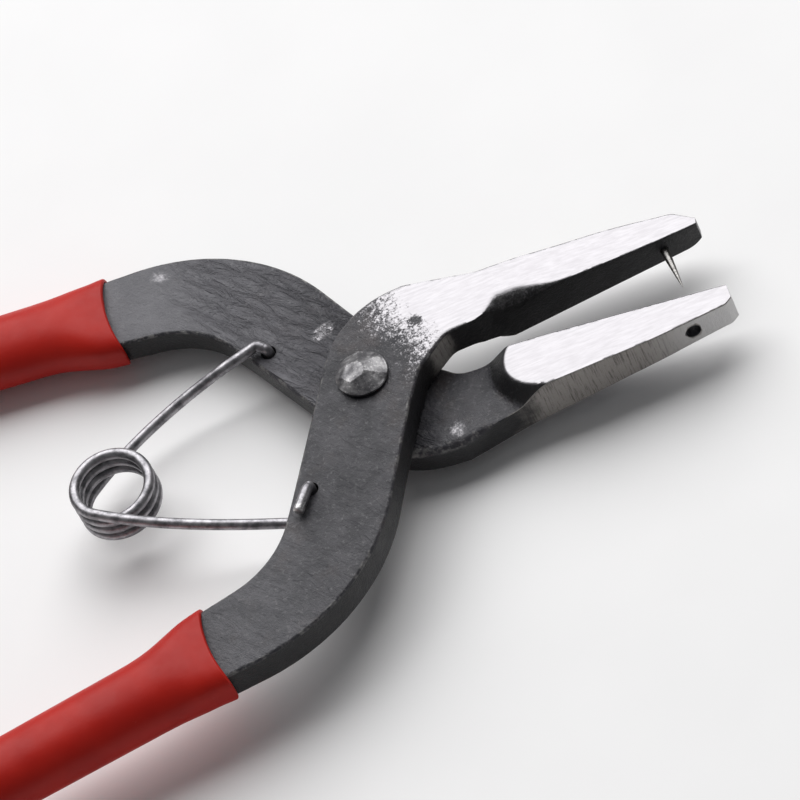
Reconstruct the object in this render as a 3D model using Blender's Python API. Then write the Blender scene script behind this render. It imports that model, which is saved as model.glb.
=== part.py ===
"""Piercing pliers of the snap-setter pattern: two forged levers crossed on a rivet.

One jaw carries a needle, and the other has the hole that the needle enters. A torsion
spring of round wire holds the handles apart, and each handle wears a dipped vinyl sleeve.

The tool lies flat. X runs along it towards the jaws, Y runs across it, and Z points up
from the lap plane, where the two levers slide on each other. Shapes are worked out in
millimetres around the pivot, and MM turns them into metres when a mesh is made. PIVOT
stands the tool on the ground, with its box centred on the origin.
"""
import math

import bmesh
import bpy
from mathutils import Vector

MM = 0.001
SHARP_ANGLE = math.radians(35)
GAP = 0.3                    # clearance between neighbouring steel pieces
LAP_GAP = 0.15               # each lever's share of the gap in the lap plane

# Levers
FRONT_THICKNESS = 5.3        # the upper lever, which carries the needle
BACK_THICKNESS = 4.7         # the lower lever, which has the hole
EDGE_BEVEL = 0.45            # on the forged handle, bow and joint
JAW_BEVEL = 0.15             # on the ground jaw
JAW_BEVEL_START = 12.0
TAPER_START = 22.0           # where a jaw starts to thin towards its tip
TIP_REACH = 52.3
TIP_HALF_THICKNESS = 2.3
TAPER_POWER = 1.6
PAD_FOOT = 16.4              # where a jaw starts to swell past the lap plane
PAD_TOP = 19.2
PAD_HEIGHT = 2.7
HANDLE_END = -98.0

# Lever outlines: runs of (x, y, fillet radius). A run's ends lie on the edge, and its
# inner points are corners. The lever is drawn with its handle at -Y and its jaw at +Y.
HOLLOW_HANDLE = (
    (HANDLE_END, -35.8, 0), (-78, -36.0, 120), (-43.0, -30.9, 20), (-35.5, -27.9, 10),
    (-32.5, -27.4, 0),
)
HOLLOW_BOW = ((-32.5, -27.4, 0), (-20.5, -24.9, 15), (-14.9, -14.6, 0))
HOLLOW_NECK = ((-14.9, -14.6, 0), (-8.4, -2.2, 0))
OUTER_HANDLE = (
    (HANDLE_END, -43.6, 0), (-74, -44.2, 150), (-43.0, -40.5, 30), (-31.9, -39.6, 0),
)
OUTER_BOW = ((-31.9, -39.6, 0), (-9.8, -37.8, 31), (0.4, -16.8, 0))
OUTER_NECK = ((0.4, -16.8, 0), (5.0, -7.5, 0))

FRONT_JOINT_BACK = ((-8.4, -2.2, 0), (-0.7, 12.5, 14), (9.5, 12.5, 0))
FRONT_SHOULDER = ((9.5, 12.5, 0), (20.5, 9.4, 12), (26.0, 9.6, 0))
FRONT_JAW_BACK = ((26.0, 9.6, 0), (40.0, 9.1, 60), (48.9, 7.7, 1), (51.8, 5.4, 0))
FRONT_THROAT = ((5.0, -7.5, 0), (7.8, -2.6, 4), (13.0, 1.3, 3), (15.0, 1.35, 0))
FRONT_HEEL = ((15.0, 1.35, 0), (17.6, 1.4, 1), (20.0, 2.15, 2), (26.0, 2.57, 0))
FRONT_JAW_FACE = ((26.0, 2.57, 0), (51.6, 4.3, 0))

BACK_JOINT_BACK = ((-8.4, -2.2, 0), (-0.7, 12.6, 14), (9.5, 13.8, 0))
BACK_SHOULDER = ((9.5, 13.8, 0), (20.5, 12.0, 20), (26.0, 12.1, 0))
BACK_JAW_BACK = ((26.0, 12.1, 0), (40.0, 12.0, 80), (51.2, 11.2, 1), (TIP_REACH, 10.4, 0))
BACK_THROAT = ((5.0, -7.5, 0), (8.0, -2.6, 4), (12.5, 2.1, 4), (15.0, 2.5, 0))
BACK_HEEL = ((15.0, 2.5, 0), (18.4, 2.7, 2), (26.0, 3.78, 0))
BACK_JAW_FACE = ((26.0, 3.78, 0), (TIP_REACH, 7.9, 0))

RUN_STEPS = (10, 12, 4, 10, 12, 10)      # stations along each run of an outline

# Rivet
SHANK_RADIUS = 2.3
PIVOT_HOLE_RADIUS = SHANK_RADIUS + GAP
HEAD_RADIUS = 3.9
HEAD_HEIGHT = 1.9
HEAD_SIDE = 0.5              # the straight rim under the dome
DOME_STEPS = 4
TURNED_SEGMENTS = 28         # sides of the rivet and of the bigger holes
SMALL_HOLE_SEGMENTS = 16

# Needle, which stands square on the front jaw's face
NEEDLE_FOOT = (46.0, 3.92)
NEEDLE_TILT = math.radians(3.8)
NEEDLE_RADIUS = 0.62
NEEDLE_LENGTH = 7.5
NEEDLE_ROOT = 1.7
NEEDLE_POINT_RADIUS = 0.05
# Stations of the needle: distance from the jaw's face, and share of its full thickness
NEEDLE_TAPER = ((-NEEDLE_ROOT, 1.0), (0.8, 1.0), (3.4, 0.8), (NEEDLE_LENGTH, 0.0))
NEEDLE_SIDES = 14
EYE_MIDDLE = (45.8, 9.35)    # middle of the back jaw's hole, in its own drawing
EYE_TILT = math.radians(-5.8)
EYE_RADIUS = 1.1
EYE_REACH = 8.0              # how far the hole's cutter runs to either side of its middle

# Spring
WIRE_RADIUS = 0.76
COIL_MIDDLE = (-39.5, 2.0)
COIL_RADIUS = 5.5
COIL_PITCH = 1.76
LEG_ANGLE = 130.0            # where a leg leaves the coil, in degrees from +X
COIL_TURNS = 3 + (360 - 2 * LEG_ANGLE) / 360
SPRING_HOLE = (-12.3, 15.1)  # in the back lever; the front one is its mirror image
SPRING_HOLE_PLAY = 0.45      # clearance round the wire, which swivels in the hole
SPRING_HOLE_RADIUS = WIRE_RADIUS + SPRING_HOLE_PLAY
LEG_STEPS = 14
LEG_BOW = 14.0               # how far a leg keeps its first direction
LEG_LEVEL = 0.86             # share of a leg after which it lies level over its lever
LEG_LEAN = 0.79              # how far it swings in for each millimetre that it rises
HOOK_RADIUS = 1.0
HOOK_BEND = 0.3              # share of a bend's size that its middle lies in from either straight
HOOK_DROP = 0.25             # how far the upper bend has come down by its middle
HOOK_LANDING = (-1.3, 0.95)  # where the leg comes down onto the lever, from the hole
HOOK_STUB = (-2.5, 3.6)      # the bent-over end, from the hole, in the back lever
WIRE_SIDES = 8
DEGREES_PER_POINT = 15.0

# Sleeves
SLEEVE_WALL = 0.8
SLEEVE_GAP = 0.2             # the dip fits closer than the steel pieces do
SLEEVE_END = 3.0             # how far a sleeve runs on past its handle
SLEEVE_STEPS = 16
SLEEVE_SIDES = 20
SLEEVE_CORNER = 1.5          # corner radius of a sleeve's outside
# A sleeve's closed end: share of SLEEVE_END past the handle, and share of the full section
SLEEVE_DOME = ((1.0, 0.45), (0.85, 0.8), (0.45, 0.95))

PIVOT = Vector((
    (SLEEVE_END - HANDLE_END - TIP_REACH) / 2,
    0.0,
    BACK_THICKNESS + GAP + HEAD_HEIGHT,
))


# --- Outlines ---

def rounded_run(corners, steps_per_arc=6):
    """Points along a run of corners, with an arc of the given radius at each inner one."""
    points = [Vector(corners[0][:2])]
    for before, corner, after in zip(corners, corners[1:], corners[2:]):
        middle = Vector(corner[:2])
        back = (Vector(before[:2]) - middle).normalized()
        ahead = (Vector(after[:2]) - middle).normalized()
        half_angle = back.angle(ahead) / 2
        setback = corner[2] / math.tan(half_angle)
        start = middle + back * setback
        centre = middle + (back + ahead).normalized() * corner[2] / math.sin(half_angle)
        turn = math.pi - 2 * half_angle
        if (ahead.x * back.y - ahead.y * back.x) < 0:
            turn = -turn
        for step in range(steps_per_arc + 1):
            angle = turn * step / steps_per_arc
            spoke = start - centre
            points.append(centre + Vector((
                spoke.x * math.cos(angle) - spoke.y * math.sin(angle),
                spoke.x * math.sin(angle) + spoke.y * math.cos(angle),
            )))
    points.append(Vector(corners[-1][:2]))
    return points


def evenly(points, steps):
    """The same path as steps + 1 points at equal distances."""
    lengths = [0.0]
    for here, there in zip(points, points[1:]):
        lengths.append(lengths[-1] + (there - here).length)
    even = []
    leg = 0
    for step in range(steps + 1):
        target = lengths[-1] * step / steps
        while leg < len(points) - 2 and lengths[leg + 1] < target:
            leg += 1
        share = (target - lengths[leg]) / max(lengths[leg + 1] - lengths[leg], 1e-9)
        even.append(points[leg].lerp(points[leg + 1], min(share, 1.0)))
    return even


def edge_points(runs):
    """One lever edge, run after run, without doubling the points where runs meet."""
    points = []
    for run, steps in zip(runs, RUN_STEPS):
        stretch = evenly(rounded_run(run), steps)
        points.extend(stretch if not points else stretch[1:])
    return points


# --- Heights of a lever's two faces ---

def outer_face(x, thickness):
    """Height of the face away from the other lever, which thins towards the jaw's tip."""
    share = min(max((x - TAPER_START) / (TIP_REACH - TAPER_START), 0.0), 1.0)
    return TIP_HALF_THICKNESS + (thickness - TIP_HALF_THICKNESS) * (1 - share) ** TAPER_POWER


def lap_face(x):
    """Height of the face in the lap plane, which swells past it in the jaw."""
    rise = min(max((x - PAD_FOOT) / (PAD_TOP - PAD_FOOT), 0.0), 1.0)
    swell = rise * rise * (3 - 2 * rise)
    fade = min(max((x - PAD_TOP) / (TIP_REACH - PAD_TOP), 0.0), 1.0)
    height = PAD_HEIGHT + (TIP_HALF_THICKNESS - PAD_HEIGHT) * fade
    return LAP_GAP - (height + LAP_GAP) * swell


def edge_bevel(x):
    """Width of the bevel along a lever's edges, which is finer on the ground jaw."""
    share = min(max(x / JAW_BEVEL_START, 0.0), 1.0)
    return EDGE_BEVEL + (JAW_BEVEL - EDGE_BEVEL) * share


# --- Meshes ---

def material(name, colour, metallic, roughness):
    """A Principled material."""
    made = bpy.data.materials.new(name)
    made.use_nodes = True
    shader = made.node_tree.nodes["Principled BSDF"]
    shader.inputs["Base Color"].default_value = (*colour, 1.0)
    shader.inputs["Metallic"].default_value = metallic
    shader.inputs["Roughness"].default_value = roughness
    return made


def add_object(name, mesh_builder, finish=None):
    """A closed solid from a bmesh in millimetres around the pivot."""
    bmesh.ops.recalc_face_normals(mesh_builder, faces=mesh_builder.faces)
    bmesh.ops.scale(mesh_builder, vec=(MM, MM, MM), verts=mesh_builder.verts)
    mesh = bpy.data.meshes.new(name)
    mesh_builder.to_mesh(mesh)
    mesh_builder.free()
    mesh.shade_smooth()
    mesh.set_sharp_from_angle(angle=SHARP_ANGLE)
    made = bpy.data.objects.new(name, mesh)
    bpy.context.scene.collection.objects.link(made)
    made.location = PIVOT * MM
    if finish:
        mesh.materials.append(finish)
    return made


def skin_rings(builder, rings, cap_start=True, cap_end=True):
    """Quads between rings of points, with a cap on either end where one is asked for."""
    loops = [[builder.verts.new(point) for point in ring] for ring in rings]
    for here, there in zip(loops, loops[1:]):
        for side in range(len(here)):
            after = (side + 1) % len(here)
            builder.faces.new((here[side], here[after], there[after], there[side]))
    if cap_start:
        builder.faces.new(loops[0])
    if cap_end:
        builder.faces.new(loops[-1])
    return loops


def turn_over(points):
    """Half a turn about X, which makes the front lever's drawing into the back one's."""
    return [Vector((point.x, -point.y, -point.z)) for point in points]


def add_rod(name, start, end, radius, finish=None, end_radius=None, sides=TURNED_SEGMENTS):
    """A straight round rod or cone between two points."""
    axis = (end - start).normalized()
    side = axis.orthogonal().normalized()
    other = axis.cross(side)
    rings = []
    for point, reach in ((start, radius), (end, radius if end_radius is None else end_radius)):
        rings.append([
            point + reach * (side * math.cos(turn) + other * math.sin(turn))
            for turn in (2 * math.pi * step / sides for step in range(sides))
        ])
    builder = bmesh.new()
    skin_rings(builder, rings)
    return add_object(name, builder, finish)


def cut_with(target, cutter):
    """Subtract a cutter, which stays in the file as a hidden wire shape."""
    cutter.hide_render = True
    cutter.display_type = "WIRE"
    cut = target.modifiers.new(cutter.name, "BOOLEAN")
    cut.operation = "DIFFERENCE"
    cut.solver = "EXACT"
    cut.object = cutter


# --- Levers ---

def lever(name, hollow_runs, outer_runs, thickness, turned_over, finish):
    """A flat forging skinned from station to station along its two edges."""
    rings = []
    for left, right in zip(edge_points(hollow_runs), edge_points(outer_runs)):
        width = (right - left).length
        across = (right - left) / width
        bevel = edge_bevel(left.x)
        spans = (0.0, bevel, width / 2, width - bevel, width)
        places = [left + across * span for span in spans]
        sink = (bevel, 0.0, 0.0, 0.0, bevel)
        upper = [
            Vector((place.x, place.y, outer_face(place.x, thickness) - drop))
            for place, drop in zip(places, sink)
        ]
        lower = [
            Vector((place.x, place.y, lap_face(place.x) + drop))
            for place, drop in zip(places, sink)
        ]
        ring = upper + lower[::-1]
        rings.append(turn_over(ring) if turned_over else ring)
    builder = bmesh.new()
    skin_rings(builder, rings)
    return add_object(name, builder, finish)


def spring_hole(lever_name, sign):
    """A cutter for the hole in which a spring leg hooks."""
    reach = FRONT_THICKNESS + BACK_THICKNESS
    place = Vector((SPRING_HOLE[0], sign * SPRING_HOLE[1], 0.0))
    rise = Vector((0.0, 0.0, reach))
    name = f"{lever_name}_spring_hole"
    return add_rod(
        name, place - rise, place + rise, SPRING_HOLE_RADIUS, sides=SMALL_HOLE_SEGMENTS,
    )


def pivot_hole(lever_name):
    """A cutter for the rivet's hole."""
    rise = Vector((0.0, 0.0, FRONT_THICKNESS + BACK_THICKNESS))
    return add_rod(f"{lever_name}_pivot_hole", -rise, rise, PIVOT_HOLE_RADIUS)


# --- Turned pieces ---

def rivet(finish):
    """Shank and two domed heads, turned about Z."""
    rise = HEAD_HEIGHT - HEAD_SIDE
    dome_radius = (HEAD_RADIUS ** 2 + rise ** 2) / (2 * rise)
    dome_angle = math.asin(HEAD_RADIUS / dome_radius)

    def head(seat, sign):
        profile = [(SHANK_RADIUS, seat), (HEAD_RADIUS, seat)]
        for step in range(DOME_STEPS):
            angle = dome_angle * (1 - step / DOME_STEPS)
            height = HEAD_HEIGHT - dome_radius * (1 - math.cos(angle))
            profile.append((dome_radius * math.sin(angle), seat + sign * height))
        return profile, seat + sign * HEAD_HEIGHT

    upper, crown = head(FRONT_THICKNESS + GAP, 1)
    lower, base = head(-BACK_THICKNESS - GAP, -1)
    rings = []
    for radius, height in upper[::-1] + lower:
        turns = (2 * math.pi * step / TURNED_SEGMENTS for step in range(TURNED_SEGMENTS))
        rings.append([
            Vector((radius * math.cos(turn), radius * math.sin(turn), height)) for turn in turns
        ])
    builder = bmesh.new()
    loops = skin_rings(builder, rings, cap_start=False, cap_end=False)
    for loop, height in ((loops[0], crown), (loops[-1], base)):
        pole = builder.verts.new((0.0, 0.0, height))
        for side, corner in enumerate(loop):
            builder.faces.new((corner, loop[(side + 1) % len(loop)], pole))
    return add_object("pivot_rivet", builder, finish)


def needle_axis():
    """The needle's foot on the jaw's face, and the way it points."""
    foot = Vector((*NEEDLE_FOOT, 0.0))
    return foot, Vector((math.sin(NEEDLE_TILT), -math.cos(NEEDLE_TILT), 0.0))


def needle(finish):
    """A ground point on a straight root that sits in the jaw."""
    foot, ahead = needle_axis()
    side = Vector((0.0, 0.0, 1.0))
    other = ahead.cross(side)
    rings = []
    for along, share in NEEDLE_TAPER:
        reach = NEEDLE_POINT_RADIUS + (NEEDLE_RADIUS - NEEDLE_POINT_RADIUS) * share
        rings.append([
            foot + ahead * along + reach * (side * math.cos(turn) + other * math.sin(turn))
            for turn in (2 * math.pi * step / NEEDLE_SIDES for step in range(NEEDLE_SIDES))
        ])
    builder = bmesh.new()
    skin_rings(builder, rings)
    return add_object("needle", builder, finish)


# --- Spring ---

def leg_points(start, direction, hook):
    """A leg bowed from the coil to the hook, as a curve of one control point.

    It climbs or sinks to the hook's height early, and swings in a little on the way, so
    that its last stretch lies level over its lever.
    """
    control = start + direction * LEG_BOW

    def along(share):
        return start * (1 - share) ** 2 + control * 2 * share * (1 - share) + hook * share ** 2

    points = []
    for step in range(1, LEG_STEPS):
        point = along(step / LEG_STEPS)
        height = along(min(step / LEG_STEPS / LEG_LEVEL, 1.0)).z
        point.y -= LEG_LEAN * (height - point.z)
        point.z = height
        points.append(point)
    return points


def wire_half(sign, thickness):
    """Centreline of one half: half of the coil's turns, a leg, and the hook on its end.

    sign is 1 for the half whose leg lies on the back lever and -1 for the other one. Both
    are drawn at +Y with the lever under the leg, and the other one is then turned over.
    """
    middle = Vector((COIL_MIDDLE[0], sign * COIL_MIDDLE[1], 0.0))
    half_rise = COIL_TURNS * COIL_PITCH / 2
    half_sweep = COIL_TURNS * 180.0
    break_angle = math.degrees(GAP / 2 / COIL_RADIUS)
    sweep = half_sweep - break_angle
    count = math.ceil(sweep / DEGREES_PER_POINT)
    coil = []
    for step in range(count + 1):
        swept = sweep * (1 - step / count)
        turn = math.radians(LEG_ANGLE + swept)
        height = -half_rise + half_rise * swept / half_sweep
        coil.append(middle + Vector((
            COIL_RADIUS * math.cos(turn),
            COIL_RADIUS * math.sin(turn),
            height,
        )))
    turn = math.radians(LEG_ANGLE)
    slope = -half_rise / math.radians(half_sweep) / COIL_RADIUS
    leaving = Vector((math.sin(turn), -math.cos(turn), slope))
    rest_height = WIRE_RADIUS + GAP
    hole = Vector((*SPRING_HOLE, 0.0))
    landing = hole + Vector((*HOOK_LANDING, rest_height))
    leg = leg_points(coil[-1], leaving, landing)
    under = -(thickness + GAP + WIRE_RADIUS)
    stub = Vector((*HOOK_STUB, 0.0))
    bend = stub.normalized() * HOOK_RADIUS

    def over_hole(sideways, height):
        return hole + sideways + Vector((0.0, 0.0, height))

    hook = [
        landing,
        over_hole(Vector((*HOOK_LANDING, 0.0)) * HOOK_BEND, rest_height - HOOK_DROP),
        over_hole(Vector(), rest_height - HOOK_RADIUS),
        over_hole(Vector(), under + HOOK_RADIUS),
        over_hole(bend * HOOK_BEND, under + HOOK_RADIUS * HOOK_BEND),
        over_hole(bend, under),
        over_hole(stub, under),
    ]
    points = coil + leg + hook
    return points if sign > 0 else turn_over(points)


def wire(name, points, finish):
    """Round wire along a centreline, its rings carried along without twist."""
    rings = []
    side = None
    for index, point in enumerate(points):
        before = points[max(index - 1, 0)]
        after = points[min(index + 1, len(points) - 1)]
        ahead = (after - before).normalized()
        side = ahead.orthogonal() if side is None else side - ahead * side.dot(ahead)
        side.normalize()
        other = ahead.cross(side)
        rings.append([
            point + WIRE_RADIUS * (side * math.cos(turn) + other * math.sin(turn))
            for turn in (2 * math.pi * step / WIRE_SIDES for step in range(WIRE_SIDES))
        ])
    builder = bmesh.new()
    skin_rings(builder, rings)
    return add_object(name, builder, finish)


# --- Sleeves ---

def rounded_section(centre, across, half_width, half_height, corner):
    """A rounded rectangle square to a handle, as a ring of points."""
    ring = []
    for step in range(SLEEVE_SIDES):
        turn = 2 * math.pi * (step + 0.5) / SLEEVE_SIDES
        sideways = corner * math.cos(turn)
        sideways += math.copysign(half_width - corner, math.cos(turn))
        upwards = corner * math.sin(turn)
        upwards += math.copysign(half_height - corner, math.sin(turn))
        ring.append(centre + across * sideways + Vector((0.0, 0.0, upwards)))
    return ring


def sleeve(name, thickness, turned_over, finish):
    """A dipped cup over the handle, open at its rim."""
    left_edge = evenly(rounded_run(HOLLOW_HANDLE), SLEEVE_STEPS)
    right_edge = evenly(rounded_run(OUTER_HANDLE), SLEEVE_STEPS)
    sections = []
    for left, right in zip(left_edge, right_edge):
        middle = (left + right) / 2
        across = (right - left).normalized()
        half_width = (right - left).length / 2
        sections.append((Vector((*middle, thickness / 2)), across.to_3d(), half_width))
    end, end_across, end_width = sections[0]
    half = thickness / 2
    outward = Vector((-1.0, 0.0, 0.0))
    reach = SLEEVE_GAP + SLEEVE_WALL
    outer = []
    for along, share in SLEEVE_DOME:
        outer.append(rounded_section(
            end + outward * SLEEVE_END * along,
            end_across,
            (end_width + reach) * share,
            (half + reach) * share,
            SLEEVE_CORNER,
        ))
    for centre, across, half_width in sections:
        outer.append(rounded_section(
            centre, across, half_width + reach, half + reach, SLEEVE_CORNER,
        ))
    inner = [
        rounded_section(centre, across, half_width + SLEEVE_GAP, half + SLEEVE_GAP, SLEEVE_GAP)
        for centre, across, half_width in sections[::-1]
    ]
    inner.append(rounded_section(
        end + outward * GAP, end_across, end_width + SLEEVE_GAP, half + SLEEVE_GAP, SLEEVE_GAP,
    ))
    rings = outer + inner
    if turned_over:
        rings = [turn_over(ring) for ring in rings]
    builder = bmesh.new()
    skin_rings(builder, rings)
    return add_object(name, builder, finish)


# --- Assembly ---

def build():
    """Make every piece where it sits with the tool open."""
    for leftover in list(bpy.data.objects):
        bpy.data.objects.remove(leftover)

    black_steel = material("black_steel", (0.05, 0.05, 0.055), 0.7, 0.5)
    rivet_steel = material("rivet_steel", (0.12, 0.12, 0.125), 0.8, 0.4)
    needle_steel = material("needle_steel", (0.45, 0.44, 0.42), 1.0, 0.3)
    spring_steel = material("spring_steel", (0.32, 0.32, 0.33), 1.0, 0.35)
    red_vinyl = material("red_vinyl", (0.5, 0.03, 0.02), 0.0, 0.35)

    front_hollow = (HOLLOW_HANDLE, HOLLOW_BOW, HOLLOW_NECK)
    front_outer = (OUTER_HANDLE, OUTER_BOW, OUTER_NECK)
    front = lever(
        "front_lever",
        (*front_hollow, FRONT_JOINT_BACK, FRONT_SHOULDER, FRONT_JAW_BACK),
        (*front_outer, FRONT_THROAT, FRONT_HEEL, FRONT_JAW_FACE),
        FRONT_THICKNESS, False, black_steel,
    )
    back = lever(
        "back_lever",
        (*front_hollow, BACK_JOINT_BACK, BACK_SHOULDER, BACK_JAW_BACK),
        (*front_outer, BACK_THROAT, BACK_HEEL, BACK_JAW_FACE),
        BACK_THICKNESS, True, black_steel,
    )
    for made, sign in ((front, -1), (back, 1)):
        cut_with(made, pivot_hole(made.name))
        cut_with(made, spring_hole(made.name, sign))

    foot, ahead = needle_axis()
    socket_start = foot - ahead * (NEEDLE_ROOT + GAP)
    socket_end = foot + ahead * NEEDLE_RADIUS
    cut_with(front, add_rod(
        "needle_socket", socket_start, socket_end, NEEDLE_RADIUS + GAP / 2,
        sides=SMALL_HOLE_SEGMENTS,
    ))
    eye = Vector((EYE_MIDDLE[0], -EYE_MIDDLE[1], 0.0))
    eye_way = Vector((math.sin(EYE_TILT), -math.cos(EYE_TILT), 0.0))
    cut_with(back, add_rod(
        "needle_eye", eye - eye_way * EYE_REACH, eye + eye_way * EYE_REACH, EYE_RADIUS,
    ))

    rivet(rivet_steel)
    needle(needle_steel)
    wire("spring_back_half", wire_half(1, BACK_THICKNESS), spring_steel)
    wire("spring_front_half", wire_half(-1, FRONT_THICKNESS), spring_steel)
    sleeve("front_grip", FRONT_THICKNESS, False, red_vinyl)
    sleeve("back_grip", BACK_THICKNESS, True, red_vinyl)


build()
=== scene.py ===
import math

import bmesh
import bpy
from mathutils import Matrix, Vector, noise


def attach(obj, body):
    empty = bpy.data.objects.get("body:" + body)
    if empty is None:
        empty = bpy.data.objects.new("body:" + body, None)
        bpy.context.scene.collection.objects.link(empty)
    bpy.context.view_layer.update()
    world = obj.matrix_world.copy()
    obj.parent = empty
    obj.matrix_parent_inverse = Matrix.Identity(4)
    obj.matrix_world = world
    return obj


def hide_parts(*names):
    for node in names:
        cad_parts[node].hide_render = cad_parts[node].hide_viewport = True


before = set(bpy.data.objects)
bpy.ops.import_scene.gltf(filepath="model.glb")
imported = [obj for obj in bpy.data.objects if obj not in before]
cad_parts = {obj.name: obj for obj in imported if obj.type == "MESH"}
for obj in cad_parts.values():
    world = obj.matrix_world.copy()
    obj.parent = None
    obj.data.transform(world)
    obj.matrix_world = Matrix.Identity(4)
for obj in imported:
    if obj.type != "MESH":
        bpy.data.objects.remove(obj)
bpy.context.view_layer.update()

# Finished look of the piercing pliers. Shapes are worked out in millimetres around the
# pivot: X runs along the tool to the jaws, and Z = 0 is the plane where the levers meet.

MM = 0.001
NO_DISTANCE = 1e-6
SHARP_ANGLE = 40.0  # edges that turn more than this stay crisp, in degrees
LAP_GAP = 0.15  # each lever's share of the gap between the two

# Levers, each drawn with its handle at -Y and its jaw at +Y
FRONT_THICKNESS = 5.3
BACK_THICKNESS = 4.7
EDGE_ROUND = 0.5  # edges of the forged handle, bow and joint
JAW_ROUND = 0.14  # edges of the ground jaw
JAW_ROUND_START = 12.0
LAP_ROUND = 1.3  # the forged edge of the joint, on its lap side
LAP_ROUND_START = -4.0
LAP_ROUND_RISE = 4.0
LAP_ROUND_END = 16.0
LAP_ROUND_FADE = 5.0
SHOULDER_ROUND = 2.3  # the forged shoulder beside the front jaw's ground face
SHOULDER_START = 15.2
SHOULDER_RISE = 5.2  # how far it takes to reach its full roundness
SHOULDER_END = 23.0
SHOULDER_FADE = 9.0
TAPER_START = 22.0  # where a jaw starts to thin towards its tip
TIP_REACH = 52.3
TIP_HALF_THICKNESS = 2.3
TIP_ROUND = 3.4
TIP_DROP = 2.7  # how far the front jaw's lower corner is rounded off
TAPER_POWER = 1.6
PAD_HEIGHT = 2.7
PAD_TOP = 19.6  # where the pad starts along its inner edge
PAD_FOOT = 15.8
PAD_CORNER = 7.5  # how far the pad's outer corner runs back
PAD_CORNER_START = 7.0  # where it starts across the jaw
PAD_CORNER_END = 12.15
PAD_FOOT_SLANT = 2.0
PAD_INNER_CORNER = 4.2
PAD_INNER_START = 7.0
PAD_INNER_END = 2.2
PAD_CUT = 0.94  # share of the forged boss that the grinding leaves
PAD_FINISH = 12.0  # how sharply the grinding stops at the edge of the boss
BOSS_WALL = (0.12, 0.97)  # shares of the boss's height between which it is steep
HANDLE_END = -98.0

# Lever outlines: runs of (x, y, fillet radius), whose inner points are corners
HOLLOW_HANDLE = (
    (HANDLE_END, -35.8, 0), (-78, -36.0, 120), (-43.0, -30.9, 20), (-35.5, -27.9, 10),
    (-32.5, -27.4, 0),
)
HOLLOW_BOW = ((-32.5, -27.4, 0), (-20.5, -24.9, 15), (-14.9, -14.6, 0))
HOLLOW_NECK = ((-14.9, -14.6, 0), (-8.4, -2.2, 0))
OUTER_HANDLE = (
    (HANDLE_END, -43.6, 0), (-74, -44.2, 150), (-43.0, -40.5, 30), (-31.9, -39.6, 0),
)
OUTER_BOW = ((-31.9, -39.6, 0), (-9.8, -37.8, 31), (0.4, -16.8, 0))
OUTER_NECK = ((0.4, -16.8, 0), (5.0, -7.5, 0))
FRONT_LEFT = (
    HOLLOW_HANDLE, HOLLOW_BOW, HOLLOW_NECK,
    ((-8.4, -2.2, 0), (-0.7, 12.5, 14), (9.5, 12.5, 0)),
    ((9.5, 12.5, 0), (20.5, 9.4, 12), (26.0, 9.6, 0)),
    ((26.0, 9.6, 0), (40.0, 9.1, 60), (48.9, 7.7, 1), (51.8, 5.4, 0)),
)
FRONT_RIGHT = (
    OUTER_HANDLE, OUTER_BOW, OUTER_NECK,
    ((5.0, -7.5, 0), (7.8, -2.6, 4), (13.0, 1.3, 3), (15.0, 1.35, 0)),
    ((15.0, 1.35, 0), (17.6, 1.4, 1), (20.0, 2.15, 2), (26.0, 2.57, 0)),
    ((26.0, 2.57, 0), (51.6, 4.3, 0)),
)
BACK_LEFT = (
    HOLLOW_HANDLE, HOLLOW_BOW, HOLLOW_NECK,
    ((-8.4, -2.2, 0), (-0.7, 12.6, 14), (9.5, 13.8, 0)),
    ((9.5, 13.8, 0), (20.5, 12.0, 20), (26.0, 12.1, 0)),
    ((26.0, 12.1, 0), (40.0, 12.0, 80), (51.2, 11.2, 1), (TIP_REACH, 10.4, 0)),
)
BACK_RIGHT = (
    OUTER_HANDLE, OUTER_BOW, OUTER_NECK,
    ((5.0, -7.5, 0), (8.0, -2.6, 4), (12.5, 2.1, 4), (15.0, 2.5, 0)),
    ((15.0, 2.5, 0), (18.4, 2.7, 2), (26.0, 3.78, 0)),
    ((26.0, 3.78, 0), (TIP_REACH, 7.9, 0)),
)
RUN_STEPS = (48, 56, 28, 56, 64, 60)  # stations along each run of an outline
FACE_SPANS = 22
SIDE_SPANS = 6
ROUND_STEPS = 4
RELIEF = 0.035  # depth of the forging's unevenness
RELIEF_WAVES = (0.45, 1.3)  # waves per millimetre, coarse and fine
DRILL_SIDES = 48

# Where the grinding of the front jaw's face fades out, across the joint
FADE_NEAR = 6.3
FADE_REACH = 3.8  # how much earlier it starts at the jaw's back
FADE_FROM = 2.0
FADE_TO = 8.5
FADE_MIDDLE = 2.6  # from where it starts to where half is ground
FADE_SLOPE = 0.22
FADE_LENGTH = 9.0
RAGGED_LOSS = 0.85  # how much less ragged the grinding is once it is complete
BACK_FADE_MIDDLE = 12.0  # the same on the back lever's hidden face
FRONT_PALENESS = 0.35
FRONT_PALE_START = -24.0  # the scale on a lever gets darker from here to the joint
BACK_PALE_START = -12.0
PALE_LENGTH = 15.0
BARE = 2.0  # "ground" well past the threshold of 0.5
RUBBED = 0.62  # a spot that is only partly rubbed bare
DARK = -1.0  # untouched scale
# Rubbed spots, or spots left where the strength is negative: place, radius, strength
FRONT_PATCHES = (((9.8, 5.6), 0.8, -1.9), ((-6.7, 0.4), 0.7, 0.9))
BACK_PATCHES = (
    ((-3.1, 15.1), 1.5, 1.9), ((-4.8, 14.4), 1.4, 1.7),
    ((-24.6, 36.6), 1.5, 1.3), ((-22.9, 35.8), 1.3, 1.2),
    ((9.8, -11.4), 1.7, 1.35), ((8.0, -9.0), 3.6, 0.75),
)
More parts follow.
